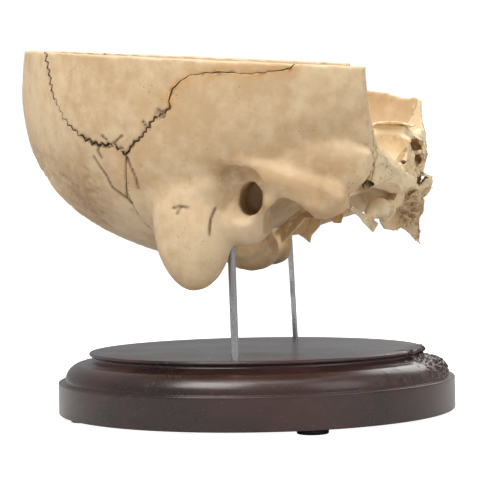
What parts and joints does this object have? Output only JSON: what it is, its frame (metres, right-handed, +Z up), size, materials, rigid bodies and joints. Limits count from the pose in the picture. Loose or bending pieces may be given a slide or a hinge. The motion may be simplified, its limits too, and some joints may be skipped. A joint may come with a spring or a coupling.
{
  "type": "partial human skull on a display stand",
  "caption": "Lower part of a human skull, sawn across above the ears and broken in front, held by steel rods on a round wooden base.",
  "frame": {"origin": "bottom centre of the whole model's box, on the surface that the feet stand on", "axes": "+X toward the skull's broken front, +Y to the skull's left side, +Z up"},
  "size_m": [0.146, 0.1436, 0.1319],
  "materials": {
    "bone": "dry, slightly glossy aged bone",
    "lacquered_wood": "dark satin lacquer",
    "steel": "plain drawn rod",
    "rubber": "dull"
  },
  "bodies": {
    "root": {"occipital_bone": "bone", "temporal_bone_right": "bone", "temporal_bone_left": "bone", "parietal_bone_right": "bone", "parietal_bone_left": "bone", "sphenoid_bone": "bone", "stand_base": "lacquered_wood", "stand_rod_right": "steel", "stand_rod_left": "steel", "stand_foot_1": "rubber", "stand_foot_2": "rubber", "stand_foot_3": "rubber", "stand_foot_4": "rubber"}
  },
  "joints": []
}
